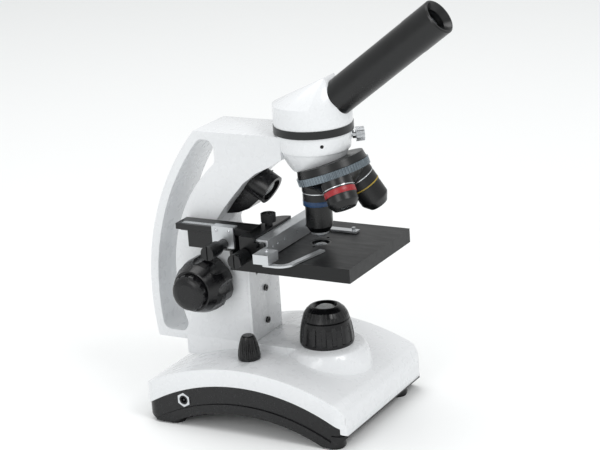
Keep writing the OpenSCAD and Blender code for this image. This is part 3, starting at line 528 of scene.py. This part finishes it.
def socket_screw(name, centre, along, radius, height):
    """A button-head screw with a round socket, its head standing up from centre."""
    bpy.ops.object.select_all(action="DESELECT")
    bpy.ops.mesh.primitive_cylinder_add(
        vertices=36, radius=radius, depth=height, location=(0, 0, height / 2)
    )
    piece = bpy.context.object
    piece.name = name
    bpy.ops.object.mode_set(mode="EDIT")
    bpy.ops.mesh.select_all(action="DESELECT")
    shape = bmesh.from_edit_mesh(piece.data)
    crown = max(shape.faces, key=lambda face: face.calc_center_median().z)
    crown.select_set(True)
    bmesh.update_edit_mesh(piece.data)
    # The crown rises inside its rim, and the socket sinks into the crown.
    bpy.ops.mesh.inset(thickness=radius * 0.3)
    bpy.ops.transform.translate(value=(0, 0, height * 0.18))
    bpy.ops.mesh.inset(thickness=radius * 0.2)
    bpy.ops.mesh.extrude_region_move(TRANSFORM_OT_translate={"value": (0, 0, -height * 0.55)})
    bpy.ops.object.mode_set(mode="OBJECT")
    piece.rotation_euler = along.to_track_quat("Z", "Y").to_euler()
    piece.location = centre
    settle(piece)
    rounded(piece, radius * 0.08, 50, 2)
    smooth(piece)
    return piece


# ---- operators ----


class MICROSCOPE_OT_castings(bpy.types.Operator):
    """Base casting, arm, front cover and head housing in gloss enamel"""

    bl_idname = "microscope.castings"
    bl_label = "Castings"

    def execute(self, context):
        edges = context.scene.microscope_edges
        soften("white_paint", "white_paint", edges.casting, "base_casting", "head_housing")
        soften("white_paint", "white_paint", edges.handle, "arm")
        soften("white_paint", "white_paint", edges.moulding, "front_cover")
        return {"FINISHED"}


class MICROSCOPE_OT_base_fittings(bpy.types.Operator):
    """Tray, feet, screws, power socket, circuit board and brightness knob"""

    bl_idname = "microscope.base_fittings"
    bl_label = "Base Fittings"

    def execute(self, context):
        dress("black_plastic", "base_tray", "dimmer_knob")
        dress("rubber", "rubber_feet")
        dress("steel", "tray_screws", "dimmer_shaft", "dimmer_pot")
        dress("black_matte", "power_jack")
        dress("chrome", "panel_nuts")
        dress("board", "power_board")
        return {"FINISHED"}


class MICROSCOPE_OT_lamps(bpy.types.Operator):
    """Lamp in the base and lamp above the stage"""

    bl_idname = "microscope.lamps"
    bl_label = "Lamps"

    def execute(self, context):
        dress("aluminium", "lamp_heatsink")
        dress("led", "led_boards")
        dress("black_plastic", "lamp_housing", "lamp_collar", "top_lamp_body")
        dress("frosted", "lamp_lens", "top_lamp_lens")
        return {"FINISHED"}


class MICROSCOPE_OT_head(bpy.types.Operator):
    """Turning head, eyepiece tube, eyepiece and clamp screw"""

    bl_idname = "microscope.head"
    bl_label = "Head"

    def execute(self, context):
        dress("black_anodised", "head_ring", "eyepiece_tube", "eyepiece_body", "socket_screws")
        dress("glass", "prism", "eye_lens", "field_lens")
        dress("chrome", "head_lock_screw")
        return {"FINISHED"}


# Distance in millimetres from the crossing of the objective axes to the nosepiece's face, and for
# each objective its place in degrees, its radius and where its colour band starts and ends.
TURRET_FACE = 66.5
OBJECTIVE_BANDS = (
    ("low_ring", 120, 13.2, 2.2, 7.0),
    ("mid_ring", 240, 12.8, 8.6, 9.6),
    ("high_ring", 0, 12.6, 7.4, 11.6),
)

# Millimetres by which the bands and the chrome trims stand out from the objectives, the wall that
# both have, and how far below the face a trim's middle lies and how high it is.
BAND_PROUD = 0.12
TRIM_PROUD = 0.1
SLEEVE_WALL = 0.3
TRIM_BELOW = 0.9
TRIM_HEIGHT = 0.8


class MICROSCOPE_OT_nosepiece(bpy.types.Operator):
    """Revolving nosepiece and the three objectives with their colour bands"""

    bl_idname = "microscope.nosepiece"
    bl_label = "Nosepiece"

    def execute(self, context):
        dress("black_anodised", "nosepiece_mount", "turret_disc")
        dress("black_anodised", "objective_low", "objective_mid", "objective_high")
        # The grip ring takes chrome whose colour is darkened into a painted dark reflection.
        dress("dark_reflection_chrome", "turret_ring")
        dress("steel", "turret_screw")
        dress("aluminium", "objective_nose")
        dress("glass", "objective_lenses")
        joint = next(j for j in frame["record"]["behaviour"]["joints"] if j["name"] == "turret_turn")
        apex = Vector(joint["pos_m"])
        spindle = -Vector(joint["axis"])
        for key, turn, radius, first, last in OBJECTIVE_BANDS:
            down = Matrix.Rotation(math.radians(turn), 3, spindle) @ Vector((0, 0, -1))
            wall = SLEEVE_WALL * MM
            middle = apex + down * (TURRET_FACE + (first + last) / 2) * MM
            outside = (radius + BAND_PROUD) * MM
            band = sleeve(key + "_band", middle, down, outside, (last - first) * MM, wall)
            attach(band, "turret", "black_anodised", key)
            root = apex + down * (TURRET_FACE + TRIM_BELOW) * MM
            outside = (radius + TRIM_PROUD) * MM
            trim = sleeve(key + "_trim", root, down, outside, TRIM_HEIGHT * MM, wall)
            attach(trim, "turret", "chrome", "chrome")
        return {"FINISHED"}


class MICROSCOPE_OT_focus(bpy.types.Operator):
    """Coarse and fine focus knobs, shafts, rack and slide"""

    bl_idname = "microscope.focus"
    bl_label = "Focus Drive"

    def execute(self, context):
        dress("black_plastic", "coarse_knobs", "fine_knobs")
        dress("steel", "coarse_shaft", "fine_shaft", "stage_carriage")
        dress("brass", "slide_gibs", "focus_rack")
        return {"FINISHED"}


class MICROSCOPE_OT_stage_table(bpy.types.Operator):
    """Stage, condenser and disc diaphragm"""

    bl_idname = "microscope.stage_table"
    bl_label = "Stage"

    def execute(self, context):
        dress("stage_black", "stage_plate", "stage_bracket")
        dress("black_anodised", "condenser", "disc_diaphragm")
        dress("glass", "condenser_lens")
        return {"FINISHED"}


# Scale strip on the rail in millimetres: its middle from the rail's low X side, high Y end and
# top, and its size.
STRIP_INSET = (5.5, 28, 0.15)
STRIP_SIZE = (4.8, 47.6, 0.4)

# Small screws: radius and height of the head in millimetres, and for the gib's screws their places
# as shares of its length and height.
GIB_SCREW = (1.5, 0.9)
GIB_SCREW_ALONG = (0.22, 0.8)
GIB_SCREW_UP = 0.82
END_SCREW = (1.6, 1.0)


class MICROSCOPE_OT_slide_holder(bpy.types.Operator):
    """Two-way slide holder with its travel knobs"""

    bl_idname = "microscope.slide_holder"
    bl_label = "Slide Holder"

    def execute(self, context):
        dress("black_anodised", "holder_base", "y_rail", "x_guide", "guide_screw", "y_knob", "x_knob")
        dress("aluminium", "holder_gib", "x_bar", "end_block", "fixed_finger", "spring_finger")

        low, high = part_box("y_rail")
        bpy.ops.object.select_all(action="DESELECT")
        right, back, down = (value * MM for value in STRIP_INSET)
        place = (low.x + right, high.y - back, high.z - down)
        bpy.ops.mesh.primitive_cube_add(size=1, location=place)
        strip = bpy.context.object
        strip.name = "rail_scale"
        strip.scale = [value * MM for value in STRIP_SIZE]
        settle(strip)
        rounded(strip, 0.1 * MM, 60, 2)
        attach(strip, BODY_OF["y_rail"], "aluminium", "scale")

        low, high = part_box("holder_gib")
        radius, height = (value * MM for value in GIB_SCREW)
        for k, share in enumerate(GIB_SCREW_ALONG):
            place = (low.x, low.y + (high.y - low.y) * share, low.z + (high.z - low.z) * GIB_SCREW_UP)
            screw = socket_screw(f"gib_screw_{k}", place, Vector((-1, 0, 0)), radius, height)
            attach(screw, BODY_OF["holder_gib"], "chrome", "chrome")
        low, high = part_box("end_block")
        place = ((low.x + high.x) / 2, (low.y + high.y) / 2, high.z)
        radius, height = (value * MM for value in END_SCREW)
        screw = socket_screw("end_block_screw", place, Vector((0, 0, 1)), radius, height)
        attach(screw, BODY_OF["end_block"], "chrome", "chrome")
        return {"FINISHED"}


# Softboxes: name, place and side in metres, and power in watts. All of them point at one place.
SOFTBOXES = (
    ("key_softbox", (-0.5, -1.6, 1.9), 0.9, 16),
    ("side_softbox", (-1.8, 0.1, 1.0), 0.9, 7),
    ("top_softbox", (0.3, 0.6, 2.4), 1.4, 16),
)
LIT_PLACE = Vector((0, 0, 0.15))
SURROUND_STRENGTH = 0.76
FLOOR_SIDE = 12
SENSOR_WIDTH_MM = 36
NEAREST = 0.01


class MICROSCOPE_OT_studio(bpy.types.Operator):
    """Pale floor, soft lights and the camera"""

    bl_idname = "microscope.studio"
    bl_label = "Studio"

    def execute(self, context):
        scene = context.scene
        setup = scene.microscope_studio

        mat, tree, where = new_material("studio_paper")
        paper = noise(tree, where, 30, 2)
        close(tree, {
            "Base Color": blend_colour(tree, paper, setup.backdrop, shade(setup.backdrop, 0.995)),
            "Roughness": 0.9,
            "Specular IOR Level": 0.1,
        })
        bpy.ops.object.select_all(action="DESELECT")
        bpy.ops.mesh.primitive_plane_add(size=FLOOR_SIDE, location=(0, 0, 0))
        floor = context.object
        floor.name = "studio_floor"
        floor.data.materials.append(mat)

        world = bpy.data.worlds.new("studio_surround")
        scene.world = world
        world.use_nodes = True
        world.node_tree.nodes.clear()
        glow = add(world.node_tree, "ShaderNodeBackground", {
            "Color": setup.backdrop, "Strength": SURROUND_STRENGTH,
        })
        add(world.node_tree, "ShaderNodeOutputWorld", {"Surface": glow.outputs["Background"]})

        # Keeps the blacks black and the paper white.
        scene.view_settings.view_transform = "Standard"

        for name, place, size, power in SOFTBOXES:
            lamp = bpy.data.lights.new(name, "AREA")
            lamp.energy = power
            lamp.size = size
            source = bpy.data.objects.new(name, lamp)
            scene.collection.objects.link(source)
            source.location = place
            source.rotation_euler = (LIT_PLACE - Vector(place)).to_track_quat("-Z", "Y").to_euler()

        az, el, roll = setup.azimuth, setup.elevation, setup.roll
        right = Vector((math.cos(az), math.sin(az), 0))
        back = Vector((math.sin(az) * math.cos(el), -math.cos(az) * math.cos(el), math.sin(el)))
        up = back.cross(right)
        across = right * math.cos(roll) - up * math.sin(roll)
        upward = right * math.sin(roll) + up * math.cos(roll)
        lens = bpy.data.cameras.new("camera")
        lens.lens = setup.lens
        lens.sensor_width = SENSOR_WIDTH_MM
        lens.clip_start = NEAREST
        camera = bpy.data.objects.new("camera", lens)
        scene.collection.objects.link(camera)
        turn = Matrix((across, upward, back)).transposed()
        place = Matrix.Translation(Vector(setup.aim) + back * setup.distance)
        camera.matrix_world = place @ turn.to_4x4()
        scene.camera = camera
        return {"FINISHED"}


PIECES = (
    MICROSCOPE_OT_castings,
    MICROSCOPE_OT_base_fittings,
    MICROSCOPE_OT_lamps,
    MICROSCOPE_OT_head,
    MICROSCOPE_OT_nosepiece,
    MICROSCOPE_OT_focus,
    MICROSCOPE_OT_stage_table,
    MICROSCOPE_OT_slide_holder,
    MICROSCOPE_OT_studio,
)


class MICROSCOPE_PT_panel(bpy.types.Panel):
    """Lists the pieces of the microscope"""

    bl_label = "Microscope"
    bl_idname = "MICROSCOPE_PT_panel"
    bl_space_type = "VIEW_3D"
    bl_region_type = "UI"
    bl_category = "Microscope"

    def draw(self, context):
        for group in ("microscope_finish", "microscope_edges", "microscope_studio"):
            settings = getattr(context.scene, group)
            box = self.layout.box()
            for key in settings.__annotations__:
                box.prop(settings, key)
        for piece in PIECES:
            self.layout.operator(piece.bl_idname)


GROUPS = (
    ("microscope_finish", MicroscopeFinish),
    ("microscope_edges", MicroscopeEdges),
    ("microscope_studio", MicroscopeStudio),
)


def register():
    for name, group in GROUPS:
        bpy.utils.register_class(group)
        setattr(bpy.types.Scene, name, bpy.props.PointerProperty(type=group))
    for piece in PIECES:
        bpy.utils.register_class(piece)
    bpy.utils.register_class(MICROSCOPE_PT_panel)


def unregister():
    bpy.utils.unregister_class(MICROSCOPE_PT_panel)
    for piece in reversed(PIECES):
        bpy.utils.unregister_class(piece)
    for name, group in reversed(GROUPS):
        delattr(bpy.types.Scene, name)
        bpy.utils.unregister_class(group)


def main():
    """Makes every piece in order."""
    register()
    make_materials(bpy.context.scene)
    for piece in PIECES:
        family, action = piece.bl_idname.split(".")
        getattr(getattr(bpy.ops, family), action)()


if __name__ == "__main__":
    main()
